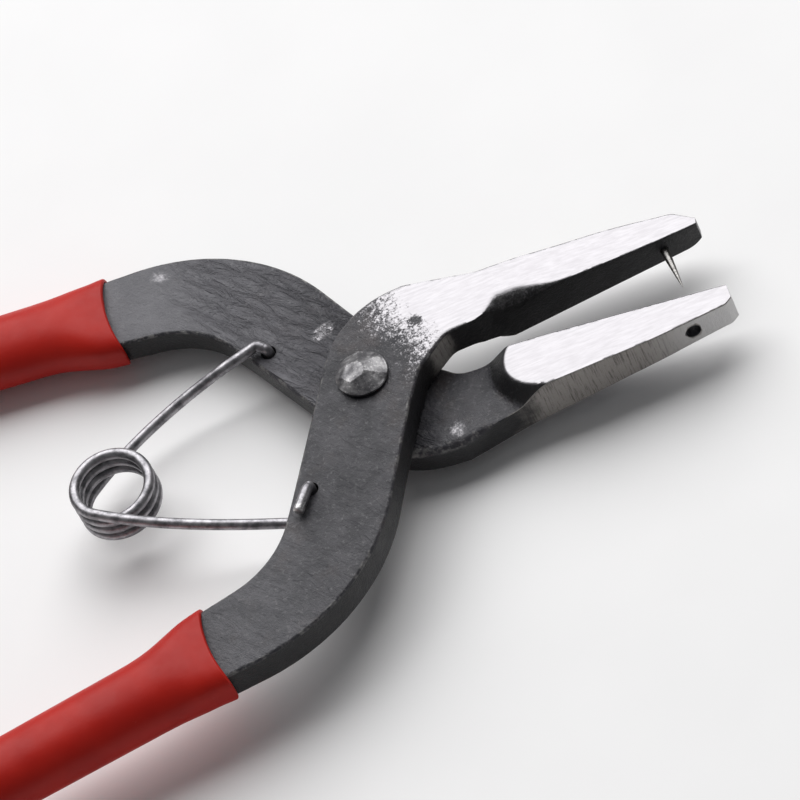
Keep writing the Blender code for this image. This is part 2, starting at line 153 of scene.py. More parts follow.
# Wrinkles and filing: where each starts, and how far it takes to its full strength
WRINKLES_IN = (-27.0, 14.0)
WRINKLES_OUT = (2.0, 8.0)
FRONT_WRINKLES = 0.15
HIDDEN_WRINKLES = 0.2
FRONT_BACK_FILED = (10.0, 8.0)
BACK_JAW_FILED = (13.0, 13.0)
BACK_TIP_FILED = (34.0, 18.0)
BACK_EDGE_FILED = (14.0, 6.0)
THROAT_MIDDLE = 11.5  # a filed spot in the front jaw's throat
THROAT_REACH = 4.0
THROAT_FILED = 0.8
# One value of each kind for every point of a lever's surface; "upright" marks the sides, shoulder
# and boss wall where shade is painted
FIELDS = ("ground", "ragged", "filed", "edge", "wrinkled", "pale", "upright")

# Rivet
SHANK_RADIUS = 2.3
PIVOT_HOLE_RADIUS = 2.6
HEAD_RADIUS = 3.85
HEAD_HEIGHT = 1.88
HEAD_SIDE = 0.5  # the straight rim under the dome
HEAD_CHAMFER = 0.12
HEAD_CLEARANCE = 0.3
HEAD_STEPS = 30
HEAD_SIDES = 128
HEAD_SHARP_ANGLE = 14.0
CROWN_RADIUS = 0.02
CAD_HEAD_HEIGHT = 1.9
# Flats hammered on a head: bearing, tilt (both in degrees) and how deep each one cuts
HAMMER_FLATS = (
    (185, 10, 0.3), (255, 26, 0.3), (308, 28, 0.44), (0, 26, 0.5), (50, 28, 0.4),
    (98, 27, 0.24), (150, 30, 0.14), (205, 30, 0.12),
)

# Needle
NEEDLE_FOOT = (46.0, 3.92)
NEEDLE_TILT = math.radians(3.8)
NEEDLE_RADIUS = 0.62
NEEDLE_LENGTH = 7.5
NEEDLE_ROOT = 1.7
NEEDLE_STRAIGHT = 0.8  # from the jaw's face to where the point starts
NEEDLE_TAPER_POWER = 0.65
NEEDLE_BLUNTNESS = 0.05  # share of its thickness that is left at the tip
NEEDLE_STEPS = 20
NEEDLE_SIDES = 32
NEEDLE_SOCKET = 0.7
EYE_MIDDLE = (45.8, 9.35)
EYE_TILT = math.radians(-5.8)
EYE_RADIUS = 1.1
EYE_REACH = 8.0

# Spring
WIRE_RADIUS = 0.8
COIL_MIDDLE = (-39.5, 2.0)
COIL_RADIUS = 5.5
COIL_PITCH = 1.76
LEG_ANGLE = 130.0  # where a leg leaves the coil, in degrees from +X
COIL_TURNS = 3 + (360 - 2 * LEG_ANGLE) / 360
SPRING_HOLE = (-12.3, 15.1)
SPRING_HOLE_RADIUS = 1.15
LEG_STEPS = 36
LEG_BOW = 14.0  # how far a leg keeps its first direction
LEG_LEVEL = 0.86  # share of a leg after which it lies level over its lever
LEG_LEAN = 0.79  # sideways, for each millimetre by which it rises early
HOOK_CLEARANCE = 0.3
HOOK_RADIUS = 1.0
HOOK_BEND = 0.3  # share of a bend at which its middle lies
HOOK_DROP = 0.25  # how far the upper bend has come down by its middle
HOOK_LANDING = (-1.3, 0.95)  # where the leg comes down onto the lever, from the hole
HOOK_STUB = (-2.5, 3.6)  # the bent-over end, from the hole
STUB_END = ((0.1, 0.05), (0.16, 0.16))  # past the end, and how much thinner it is there
CUT_SHEEN = 0.62  # how bright the wire is just behind its cut end
CUT_FADE = 0.05  # and how much of that goes with each station
WIRE_SIDES = 24
DEGREES_PER_POINT = 6.0
TONGUE_RADIUS = 0.5  # one half's turns slide in the other's, out of sight
SOCKET_RADIUS = 0.6
TONGUE_ANGLE = 9.0
SOCKET_ANGLE = 10.5
BREAK_ANGLE = 0.4
JOINT_STEPS = 6

# Sleeves
SLEEVE_WALL = 0.77
SLEEVE_GAP = 0.2
SLEEVE_END = 3.0  # how far a sleeve runs on past its handle
SLEEVE_STEPS = 90
SLEEVE_SIDES = 64
SLEEVE_POWER = 2.15  # how square a sleeve's section is; 2 is an ellipse
RIM_POWER = 3.4  # the same at its rim
BORE_POWER = 9.0  # and inside, round the handle
BORE_STRIDE = 6  # stations of the outside for each one of the inside
SLEEVE_CROWN = 1.0  # how much its flat sides swell
SOFTENING = 9.0  # how far behind its rim a sleeve turns round and full
CLOSED_END_STEPS = 14
CLOSED_END_POWER = 0.7
CLOSED_END_TIP = 0.03
FLARE_START = 3.0
FLARE = 0.12  # how far the rim opens out
LIP = 0.32  # how far the rounded rim stands out
LIP_STEPS = 5
LIP_INSIDE = 0.6  # share of the lip at which the inside starts
RIM_DIP = 1.0  # how far the rim is set back in the middle of the flat sides
RIM_DIP_REACH = 3.2

PIVOT = Vector((
    (SLEEVE_END - HANDLE_END - TIP_REACH) / 2,
    0.0,
    BACK_THICKNESS + HEAD_CLEARANCE + CAD_HEAD_HEIGHT,
)) * MM

# Studio, in metres
FLOOR_HALF_WIDTH = 3.0
FLOOR_DROP = 0.0005
KEY_PLACE = Vector((0.1, 1.15, 1.3))
KEY_AIM = Vector((0.02, 0.0, 0.0))
KEY_SIZE = (2.6, 1.8)
KEY_POWER = 52.0
ROOM_COLOUR = (0.97, 0.98, 1.0, 1.0)
ROOM_STRENGTH = 0.15

# Camera, with its place in millimetres from the pivot and its angles in degrees
CAMERA_CLIP = 20.0
CAMERA_LENS = 290.55
CAMERA_SENSOR = 36.0
CAMERA_PLACE = (68.9, -570.4, 716.2)
CAMERA_AZIMUTH = 6.59
CAMERA_FALL = 51.4
CAMERA_ROLL = -28.1

# Colours, as linear red, green, blue and alpha. Tones are the dark and light of a cloud.
SCALE_TONES = ((0.017, 0.0165, 0.022, 1), (0.036, 0.034, 0.042, 1))
SCALE_RUST = (0.060, 0.040, 0.034, 1)
SCALE_DUST = (0.15, 0.148, 0.152, 1)
SCALE_PALE = (0.155, 0.152, 0.168, 1)
# painted shade: near black laid on the levers' upright sides, the front jaw's shoulder and the
# boss's steep wall
SCALE_PAINTED_SHADE = (0.004, 0.004, 0.0045, 1)
FILED_TONES = ((0.13, 0.118, 0.11, 1), (0.33, 0.308, 0.29, 1))
FILED_TIP = (0.62, 0.61, 0.61, 1)
GROUND_TONES = ((0.255, 0.247, 0.257, 1), (0.29, 0.282, 0.293, 1))
GROUND_PIT = (0.25, 0.24, 0.24, 1)
EDGE_WORN = (0.22, 0.215, 0.21, 1)
RIVET_TONES = ((0.075, 0.073, 0.078, 1), (0.28, 0.275, 0.28, 1))
RIVET_RUBBED = (0.50, 0.49, 0.49, 1)
NEEDLE_TONES = ((0.14, 0.135, 0.13, 1), (0.36, 0.35, 0.34, 1))
WIRE_TONES = ((0.16, 0.156, 0.167, 1), (0.39, 0.379, 0.397, 1))
WIRE_CUT = (0.62, 0.61, 0.60, 1)
VINYL_TONES = ((0.37, 0.0115, 0.0075, 1), (0.44, 0.0155, 0.009, 1))
VINYL_DUST = (0.62, 0.12, 0.09, 1)
PAPER_TONES = ((0.90, 0.895, 0.895, 1), (0.92, 0.915, 0.915, 1))


# --- Outlines and heights ---

def smooth(share):
    """Smoothstep of a share, held between 0 and 1."""
    share = min(max(share, 0.0), 1.0)
    return share * share * (3 - 2 * share)


def ease(x, start, reach):
    """A smooth step from 0 at the start to 1 at the given reach past it."""
    return smooth((x - start) / reach)


def rounded_run(corners, steps_per_arc=20):
    """Points along a run of corners, with an arc of the given radius at each inner one."""
    points = [Vector(corners[0][:2])]
    for before, corner, after in zip(corners, corners[1:], corners[2:]):
        middle = Vector(corner[:2])
        back = (Vector(before[:2]) - middle).normalized()
        ahead = (Vector(after[:2]) - middle).normalized()
        half_angle = back.angle(ahead) / 2
        start = middle + back * corner[2] / math.tan(half_angle)
        centre = middle + (back + ahead).normalized() * corner[2] / math.sin(half_angle)
        turn = math.pi - 2 * half_angle
        if (ahead.x * back.y - ahead.y * back.x) < 0:
            turn = -turn
        for step in range(steps_per_arc + 1):
            turned = Matrix.Rotation(turn * step / steps_per_arc, 2)
            points.append(centre + turned @ (start - centre))
    points.append(Vector(corners[-1][:2]))
    return points


def evenly(points, steps):
    """The same path as steps + 1 points at equal distances."""
    lengths = [0.0]
    for here, there in zip(points, points[1:]):
        lengths.append(lengths[-1] + (there - here).length)
    even = []
    leg = 0
    for step in range(steps + 1):
        target = lengths[-1] * step / steps
        while leg < len(points) - 2 and lengths[leg + 1] < target:
            leg += 1
        share = (target - lengths[leg]) / max(lengths[leg + 1] - lengths[leg], 1e-9)
        even.append(points[leg].lerp(points[leg + 1], min(share, 1.0)))
    return even


def edge_points(runs):
    """One lever edge, run after run, without doubling the points where runs meet."""
    points = []
    for run, steps in zip(runs, RUN_STEPS):
        stretch = evenly(rounded_run(run), steps)
        points.extend(stretch if not points else stretch[1:])
    return points


def outer_face(x, thickness):
    """Height of the face away from the other lever, which thins towards the jaw's tip."""
    share = min(max((x - TAPER_START) / (TIP_REACH - TAPER_START), 0.0), 1.0)
    return TIP_HALF_THICKNESS + (thickness - TIP_HALF_THICKNESS) * (1 - share) ** TAPER_POWER


def boss(x, y):
    """Share of the forged boss under the jaw at a place, before grinding cuts it flat."""
    over = min(max((y - PAD_CORNER_START) / (PAD_CORNER_END - PAD_CORNER_START), 0.0), 1.0)
    inner = min(max((PAD_INNER_START - y) / (PAD_INNER_START - PAD_INNER_END), 0.0), 1.0)
    top = PAD_TOP + PAD_CORNER * (1 - math.sqrt(1 - over * over))
    top += PAD_INNER_CORNER * (1 - math.sqrt(1 - inner * inner))
    foot = PAD_FOOT + PAD_FOOT_SLANT * over
    return smooth((x - foot) / (top - foot)) / PAD_CUT


def lap_face(x, y, tip_drop):
    """Height of the face in the lap plane, which swells past it in the jaw."""
    fade = min(max((x - PAD_TOP) / (TIP_REACH - PAD_TOP), 0.0), 1.0)
    height = PAD_HEIGHT + (TIP_HALF_THICKNESS - PAD_HEIGHT) * fade
    tip = max(x - (TIP_REACH - TIP_ROUND), 0.0) / TIP_ROUND
    height -= tip_drop * (1 - math.sqrt(max(1 - tip * tip, 0.0)))
    return LAP_GAP - (height + LAP_GAP) * min(boss(x, y), 1.0)


def edge_round(x):
    """Radius of a lever's edges, which is finer on the ground jaw."""
    share = min(max(x / JAW_ROUND_START, 0.0), 1.0)
    return EDGE_ROUND + (JAW_ROUND - EDGE_ROUND) * share


# --- Materials ---

class Graph:
    """A Principled material whose node tree is built up by short calls."""

    def __init__(self, name, **sockets):
        self.material = bpy.data.materials.new(name)
        self.material.use_nodes = True
        self.tree = self.material.node_tree
        self.shader = self.tree.nodes["Principled BSDF"]
        for key, value in sockets.items():
            self.shader.inputs[key.replace("_", " ")].default_value = value
        self.place = self.add("ShaderNodeTexCoord").outputs["Object"]

    def add(self, kind, inputs=None, **settings):
        """A node, with each of its inputs set to a value or linked to a socket."""
        node = self.tree.nodes.new(kind)
        for key, value in settings.items():
            setattr(node, key, value)
        for key, value in (inputs or {}).items():
            if isinstance(value, bpy.types.NodeSocket):
                self.tree.links.new(value, node.inputs[key])
            else:
                node.inputs[key].default_value = value
        return node

    def finished(self, **sockets):
        """The material, once sockets are linked to the shader's inputs of the same names."""
        for key, value in sockets.items():
            self.tree.links.new(value, self.shader.inputs[key.replace("_", " ")])
        return self.material

    def attribute(self, name):
        """A value that the mesh holds for each vertex."""
        return self.add("ShaderNodeAttribute", attribute_name=name).outputs["Fac"]

    def noise(
        self, size, detail=4.0, roughness=0.55, stretch=(1, 1, 1), distortion=0.0, turn=0.0,
    ):
        """Noise whose features are about the given size in millimetres."""
        turned = self.add("ShaderNodeVectorRotate", {
            "Vector": self.place, "Angle": math.radians(turn),
        }, rotation_type="Z_AXIS").outputs[0]
        scaled = self.add("ShaderNodeVectorMath", {0: turned, 1: stretch}, operation="MULTIPLY")
        node = self.add("ShaderNodeTexNoise", {
            "Vector": scaled.outputs[0], "Scale": 1.0 / (size * MM), "Detail": detail,
            "Roughness": roughness, "Distortion": distortion,
        })
        return node.outputs["Fac"]

    def ramp(self, value, low, high, floor=0.0, ceiling=1.0):
        """A smooth step from floor to ceiling while the value goes from low to high."""
        return self.add("ShaderNodeMapRange", {
            "Value": value, "From Min": low, "From Max": high, "To Min": floor, "To Max": ceiling,
        }, interpolation_type="SMOOTHSTEP").outputs["Result"]

    def math(self, operation, first, second):
        """The result of one sum on two values."""
        return self.add("ShaderNodeMath", {0: first, 1: second}, operation=operation).outputs[0]

    def times(self, first, second):
        """The product of two values."""
        return self.math("MULTIPLY", first, second)

    def level(self, noise_value):
        """Noise moved to lie evenly about zero, so that fading it out leaves no step."""
        return self.math("SUBTRACT", noise_value, 0.5)

    def mix(self, share, first, second):
        """A colour the given share of the way from the first to the second."""
        inputs = {"Factor": share, 6: first, 7: second}
        return self.add("ShaderNodeMix", inputs, data_type="RGBA", clamp_factor=True).outputs[2]

    def blend(self, share, first, second):
        """A value the given share of the way from the first to the second."""
        inputs = {"Factor": share, 2: first, 3: second}
        return self.add("ShaderNodeMix", inputs, data_type="FLOAT", clamp_factor=True).outputs[0]

    def bump(self, height, depth, strength=1.0, normal=None):
        """A bump of the given depth in millimetres."""
        inputs = {"Height": height, "Distance": depth * MM, "Strength": strength}
        if normal:
            inputs["Normal"] = normal
        return self.add("ShaderNodeBump", inputs).outputs["Normal"]


def lever_steel():
    """Black forging scale, ground bright or filed grey where the attributes say so, and darkened
    towards black by painted shade where "upright" says so.
    """
    graph = Graph("forged_steel_finished", Specular_IOR_Level=0.45)
    ground, ragged, filed, edge, wrinkled, pale, upright = map(graph.attribute, FIELDS)

    # Where the steel is bare: the ground value, scattered into specks where it is ragged
    scatter_reach = 3.0
    speckle = graph.noise(0.26, detail=2.5, roughness=0.6)
    cloud = graph.noise(5.0, detail=5.0, roughness=0.6)
    mottle = graph.noise(0.9, roughness=0.65)
    specks = graph.times(speckle, scatter_reach)
    blotches = graph.times(mottle, scatter_reach)
    scatter = graph.math("ADD", specks, blotches)
    scatter = graph.times(graph.math("SUBTRACT", scatter, scatter_reach), ragged)
    bare = graph.ramp(graph.math("ADD", ground, scatter), -0.1, 1.1)

    # Forging scale: clouded black with rust and dust, pale on the bows, and painted shade in
    # black on the upright sides
    fine = graph.noise(0.34, roughness=0.7)
    scale_colour = graph.mix(graph.ramp(cloud, 0.35, 0.65), *SCALE_TONES)
    rust = graph.noise(7.0, detail=6.0, roughness=0.65, stretch=(1, 1, 0.6))
    scale_colour = graph.mix(graph.ramp(rust, 0.5, 0.72, ceiling=0.35), scale_colour, SCALE_RUST)
    dust = graph.noise(0.75, detail=6.0, roughness=0.8)
    scale_colour = graph.mix(graph.ramp(dust, 0.53, 0.66, ceiling=0.6), scale_colour, SCALE_DUST)
    scale_colour = graph.mix(graph.times(pale, 0.6), scale_colour, SCALE_PALE)
    # painted shade: the upright sides, shoulder and boss wall are darkened towards black
    scale_colour = graph.mix(graph.times(upright, 0.85), scale_colour, SCALE_PAINTED_SHADE)

    # Filed grey, with marks across the bar, bright near the tip, and edges rubbed by use
    streak = graph.noise(0.28, detail=5.0, roughness=0.7, stretch=(1, 1, 0.07))
    filed_colour = graph.mix(graph.ramp(streak, 0.33, 0.52), *FILED_TONES)
    filed_colour = graph.mix(graph.ramp(filed, 1.0, 2.0), filed_colour, FILED_TIP)
    filed_share = graph.ramp(graph.math("ADD", filed, graph.level(cloud)), 0.3, 0.7)
    rubbing = graph.noise(1.4, detail=5.0, roughness=0.7)
    worn = graph.times(edge, graph.ramp(rubbing, 0.46, 0.66))

    # Ground bright, with lines along the jaw and a few pits
    lines = graph.noise(0.35, roughness=0.7, stretch=(0.12, 1, 1))
    ground_colour = graph.mix(graph.ramp(lines, 0.3, 0.7), *GROUND_TONES)
    pits = graph.ramp(graph.noise(0.7, detail=6.0, roughness=0.75), 0.66, 0.74, ceiling=0.55)
    ground_colour = graph.mix(pits, ground_colour, GROUND_PIT)

    colour = graph.mix(filed_share, scale_colour, filed_colour)
    colour = graph.mix(worn, colour, EDGE_WORN)
    colour = graph.mix(bare, colour, ground_colour)
    metal = graph.blend(filed_share, 0.0, 0.3)
    metal = graph.blend(worn, metal, 0.6)
    metal = graph.blend(bare, metal, 1.0)
    rough = graph.ramp(cloud, 0.3, 0.7, floor=0.5, ceiling=0.36)
    rough = graph.blend(filed_share, rough, 0.42)
    rough = graph.blend(bare, rough, graph.ramp(lines, 0.3, 0.7, floor=0.34, ceiling=0.29))

    # Relief: forged skin and its wrinkles, which grinding takes away, then the tool marks
    wrinkles = graph.level(graph.noise(
        1.9, detail=5.0, roughness=0.62, stretch=(0.42, 1.25, 1), distortion=0.8, turn=54.0,
    ))
    wrinkles = graph.times(graph.times(wrinkles, wrinkled), 14.0)
    skin = graph.level(graph.noise(1.1, detail=5.0, roughness=0.6))
    forged = graph.math("ADD", skin, wrinkles)
    still = graph.math("SUBTRACT", 1.0, graph.times(bare, 0.93))
    normal = graph.bump(graph.times(forged, still), 0.16, strength=0.8)
    grain = graph.times(graph.level(fine), still)
    normal = graph.bump(grain, 0.13, normal=normal)
    filed_lines = graph.times(graph.level(streak), filed_share)
    normal = graph.bump(filed_lines, 0.06, strength=0.8, normal=normal)
    ground_lines = graph.times(graph.level(lines), bare)
    normal = graph.bump(ground_lines, 0.012, strength=0.6, normal=normal)
    return graph.finished(Base_Color=colour, Metallic=metal, Roughness=rough, Normal=normal)


def hammered_steel():
    """A hammered rivet head, rubbed bright on its high spots."""
    graph = Graph("hammered_steel", Metallic=0.85)
    speckle = graph.noise(0.5, detail=8.0, roughness=0.75)
    cloud = graph.noise(2.4, roughness=0.6)
    colour = graph.mix(graph.ramp(cloud, 0.35, 0.68), *RIVET_TONES)
    rubbed = graph.ramp(graph.math("ADD", speckle, graph.times(cloud, 0.5)), 0.78, 0.98)
    colour = graph.mix(rubbed, colour, RIVET_RUBBED)
    rough = graph.ramp(speckle, 0.3, 0.7, floor=0.34, ceiling=0.52)
    normal = graph.bump(graph.noise(0.9, detail=6.0, roughness=0.65), 0.12, strength=0.7)
    pocks = graph.noise(0.2, detail=3.0, roughness=0.6)
    normal = graph.bump(pocks, 0.03, strength=0.7, normal=normal)
    return graph.finished(Base_Color=colour, Roughness=rough, Normal=normal)


def needle_steel():
    """Ground steel with marks round the needle."""
    graph = Graph("needle_ground_steel", Metallic=1.0)
    rings = graph.noise(0.25, roughness=0.7, stretch=(0.25, 1, 0.25))
    colour = graph.mix(graph.ramp(rings, 0.35, 0.65), *NEEDLE_TONES)
    rough = graph.ramp(rings, 0.3, 0.7, floor=0.25, ceiling=0.45)
    normal = graph.bump(rings, 0.03, strength=0.7)
    return graph.finished(Base_Color=colour, Roughness=rough, Normal=normal)


def wire_steel():
    """Satin drawn wire, darker in its patches of scale, bright at its cut ends."""
    graph = Graph("drawn_wire_steel", Metallic=0.9)
    ground = graph.attribute("ground")
    cloud = graph.noise(1.8, detail=5.0, roughness=0.65)
    fine = graph.noise(0.3, roughness=0.7)
    colour = graph.mix(graph.ramp(cloud, 0.35, 0.65), *WIRE_TONES)
    bare = graph.ramp(graph.math("ADD", ground, graph.level(fine)), 0.4, 0.6)
    colour = graph.mix(bare, colour, WIRE_CUT)
    rough = graph.ramp(fine, 0.3, 0.7, floor=0.34, ceiling=0.48)
    normal = graph.bump(cloud, 0.03, strength=0.5)
    normal = graph.bump(fine, 0.012, strength=0.6, normal=normal)
    return graph.finished(Base_Color=colour, Roughness=rough, Normal=normal)


def dipped_vinyl():
    """Soft red vinyl, a little mottled, with handling marks in its sheen."""
    graph = Graph("dipped_red_vinyl", Specular_IOR_Level=0.18)
    cloud = graph.noise(9.0, detail=5.0)
    fine = graph.noise(0.6, roughness=0.6)
    colour = graph.mix(graph.ramp(cloud, 0.3, 0.7), *VINYL_TONES)
    dust = graph.noise(1.3, detail=7.0, roughness=0.75)
    colour = graph.mix(graph.ramp(dust, 0.62, 0.76, ceiling=0.22), colour, VINYL_DUST)
    handling = graph.noise(3.0, detail=6.0, roughness=0.7)
    rough = graph.ramp(handling, 0.3, 0.7, floor=0.36, ceiling=0.5)
    normal = graph.bump(graph.noise(3.5, detail=3.0, roughness=0.5), 0.10, strength=0.5)
    normal = graph.bump(fine, 0.012, strength=0.5, normal=normal)
    return graph.finished(Base_Color=colour, Roughness=rough, Normal=normal)


def floor_paper():
    """Plain white paper."""
    graph = Graph("white_paper", Roughness=0.9, Specular_IOR_Level=0.1)
    tone = graph.ramp(graph.noise(30.0, detail=3.0, roughness=0.5), 0.3, 0.7)
    return graph.finished(Base_Color=graph.mix(tone, *PAPER_TONES))


# --- Meshes ---

def skin_rings(builder, rings):
    """Quads between rings of points, with a cap on either end."""
    loops = [[builder.verts.new(point) for point in ring] for ring in rings]
    for here, there in zip(loops, loops[1:]):
        for side in range(len(here)):
            after = (side + 1) % len(here)
            builder.faces.new((here[side], here[after], there[after], there[side]))
    builder.faces.new(loops[0])
    builder.faces.new(loops[-1])


def circle(centre, side, other, radius, sides):
    """Points round a centre, in the plane of two directions."""
    turns = [2 * math.pi * step / sides for step in range(sides)]
    return [centre + radius * (side * math.cos(turn) + other * math.sin(turn)) for turn in turns]


def turn_over(point):
    """Half a turn about X, which makes the front lever's drawing into the back one's."""
    return Vector((point.x, -point.y, -point.z))


def add_object(name, data):
    """An object in the scene's own collection."""
    added = bpy.data.objects.new(name, data)
    bpy.context.scene.collection.objects.link(added)
    return added


def add_piece(name, builder, finish, fields=None, sharp_angle=SHARP_ANGLE):
    """A piece from a bmesh in millimetres, with one value per vertex for each field."""
    bmesh.ops.recalc_face_normals(builder, faces=builder.faces)
    bmesh.ops.scale(builder, vec=(MM, MM, MM), verts=builder.verts)
    mesh = bpy.data.meshes.new(name)
    builder.to_mesh(mesh)
    builder.free()
    mesh.shade_smooth()
    mesh.set_sharp_from_angle(angle=math.radians(sharp_angle))
    for field, values in (fields or {}).items():
        mesh.attributes.new(field, "FLOAT", "POINT").data.foreach_set("value", values)
    mesh.materials.append(finish)
    piece = add_object(name, mesh)
    piece.location = PIVOT
    return piece


def rod(start, end, radius):
    """A closed round rod as a bmesh."""
    axis = (end - start).normalized()
    side = axis.orthogonal().normalized()
    other = axis.cross(side)
    rings = [circle(point, side, other, radius, DRILL_SIDES) for point in (start, end)]
    builder = bmesh.new()
    skin_rings(builder, rings)
    return builder


def drill(piece, cutters, finish):
    """Cut rods out of a piece for good, so no cutter is left in the scene."""
    helpers = []
    for index, cutter in enumerate(cutters):
        helper = add_piece(f"{piece.name}_cutter_{index}", cutter, finish)
        helpers.append(helper)
        cut = piece.modifiers.new(helper.name, "BOOLEAN")
        cut.operation = "DIFFERENCE"
        cut.solver = "EXACT"
        cut.object = helper
    bpy.context.view_layer.update()
    evaluated = piece.evaluated_get(bpy.context.evaluated_depsgraph_get())
    mesh = bpy.data.meshes.new_from_object(evaluated)
    piece.modifiers.clear()
    piece.data = mesh
    for helper in helpers:
        bpy.data.objects.remove(helper)
    mesh.shade_smooth()
    mesh.set_sharp_from_angle(angle=math.radians(SHARP_ANGLE))


def settle(piece, node, body):
    """Put a piece in the place of a CAD node, on its body."""
    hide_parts(node)
    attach(piece, body)


# --- Levers ---

def section_plan(width, radii):
    """One section as (distance across, zone, turn on a rounded edge), all the way round."""
    shares = [step / FACE_SPANS for step in range(FACE_SPANS + 1)]
    turns = [step / ROUND_STEPS for step in range(1, ROUND_STEPS)]
    drops = [step / SIDE_SPANS for step in range(SIDE_SPANS + 1)]

    def face(zone, shares_across):
        left, right = radii[zone + "_left"], radii[zone + "_right"]
        inner = width - left - right
        return [(left + inner * share, zone, 0.0) for share in shares_across]

    return [
        *face("top", shares),
        *((width, "top_right", turn) for turn in turns),
        *((width, "right", drop) for drop in drops),
        *((width, "low_right", turn) for turn in turns),
        *face("low", [1 - share for share in shares]),
        *((0.0, "low_left", turn) for turn in turns),
        *((0.0, "left", drop) for drop in drops),
        *((0.0, "top_left", turn) for turn in turns),
    ]


def corner_arc(turn, radius):
    """Steps inward and away from a face at a share of the way round a quarter circle."""
    angle = turn * math.pi / 2
    return radius * (1 - math.sin(angle)), radius * (1 - math.cos(angle))


def lever_section(left, right, thickness, tip_drop):
    """Points of one section, each with its zone."""
    width = (right - left).length
    across = (right - left) / width
    plain = edge_round(left.x)
    joint = ease(left.x, LAP_ROUND_START, LAP_ROUND_RISE)
    joint *= 1 - ease(left.x, LAP_ROUND_END - LAP_ROUND_FADE, LAP_ROUND_FADE)
    shoulder = 0.0
    if tip_drop:
        shoulder = ease(left.x, SHOULDER_START, SHOULDER_RISE)
        shoulder *= 1 - ease(left.x, SHOULDER_END, SHOULDER_FADE)
    radii = {
        "top_left": plain,
        "top_right": plain + (SHOULDER_ROUND - plain) * shoulder,
        "low_left": plain + (LAP_ROUND - plain) * joint,
        "low_right": plain,
    }
    section = []
    for distance, zone, turn in section_plan(width, radii):
        if zone in ("left", "right"):
            place = left + across * distance
            top = outer_face(place.x, thickness) - radii["top_" + zone]
            low = lap_face(place.x, place.y, tip_drop) + radii["low_" + zone]
            share = turn if zone == "right" else 1 - turn
            section.append((Vector((*place, top + (low - top) * share)), zone, place))
            continue
        sink = 0.0
        if zone not in ("top", "low"):
            falling = zone in ("top_right", "low_left")
            inward, sink = corner_arc(turn if falling else 1 - turn, radii[zone])
            distance = width - inward if zone.endswith("right") else inward
        place = left + across * distance
        if zone.startswith("top"):
            height = outer_face(place.x, thickness) - sink
        else:
            height = lap_face(place.x, place.y, tip_drop) + sink
        section.append((Vector((*place, height)), zone, place))
    return section


def patch_share(place, patches):
    """How much rubbing there is at a place."""
    total = 0.0
    for centre, radius, strength in patches:
        distance = (place - Vector(centre)).length / radius
        total += strength * math.exp(-distance * distance)
    return total


def paleness(place, start):
    """How pale the scale is: it gets darker from the given start towards the joint."""
    return 1.0 - ease(place.x, start, PALE_LENGTH)


def surface(ground=DARK, ragged=0.0, filed=0.0, edge=0.0, wrinkled=0.0, pale=0.0):
    """The finish at one point, in the order of FIELDS but without "upright"."""
    return ground, ragged, filed, edge, wrinkled, pale


def pad_ground(place):
    """How far the grinding has cut the boss flat at a place: 0.5 is its outline."""
    return 0.5 + PAD_FINISH * (boss(place.x, place.y) - 1.0)


def front_fields(zone, place):
    """The finish at a point of the front lever, whose outer face is the one seen."""
    fade = FADE_NEAR - FADE_REACH * ease(place.y, FADE_FROM, FADE_TO - FADE_FROM)
    ground = min(max(0.5 + (place.x - fade - FADE_MIDDLE) * FADE_SLOPE, DARK), BARE)
    ground += patch_share(place, FRONT_PATCHES)
    if zone == "top":
        ragged = 1.0 - RAGGED_LOSS * smooth((place.x - fade - FADE_LENGTH / 2) / FADE_LENGTH)
        pale = FRONT_PALENESS * paleness(place, FRONT_PALE_START)
        return surface(ground, ragged, wrinkled=FRONT_WRINKLES, pale=pale)
    if zone.startswith("top"):
        return surface(min(ground, 0.1), 0.4, edge=0.8 if place.x < PAD_FOOT else 0.2)
    if zone == "right":
        throat = 1.0 - abs(place.x - THROAT_MIDDLE) / THROAT_REACH
        return surface(filed=max(throat, 0.0) * THROAT_FILED)
    if zone == "left":
        return surface(filed=ease(place.x, *FRONT_BACK_FILED))
    if zone == "low":
        return surface(pad_ground(place)) if place.x > PAD_FOOT else surface()
    return surface(edge=0.7)


def back_fields(zone, place):
    """The finish at a point of the back lever, whose lap side is the one mostly seen."""
    if zone == "low" and place.x > PAD_FOOT:
        return surface(pad_ground(place))
    if zone == "low":
        seen = Vector((place.x, -place.y))
        ground = min(DARK + patch_share(seen, BACK_PATCHES), RUBBED)
        wrinkled = ease(place.x, *WRINKLES_IN) * (1 - ease(place.x, *WRINKLES_OUT))
        pale = paleness(place, BACK_PALE_START)
        return surface(ground, 0.5, wrinkled=wrinkled, pale=pale)
    if zone == "top":
        ground = 0.5 + (place.x - BACK_FADE_MIDDLE) * FADE_SLOPE
        return surface(min(max(ground, DARK), BARE), 1.0, wrinkled=HIDDEN_WRINKLES)
    if zone == "left":
        filed = ease(place.x, *BACK_JAW_FILED) + ease(place.x, *BACK_TIP_FILED)
        return surface(filed=filed)
    if zone == "right":
        return surface()
    filed = ease(place.x, *BACK_EDGE_FILED) if zone.endswith("left") else 0.0
    return surface(filed=filed, edge=0.9)


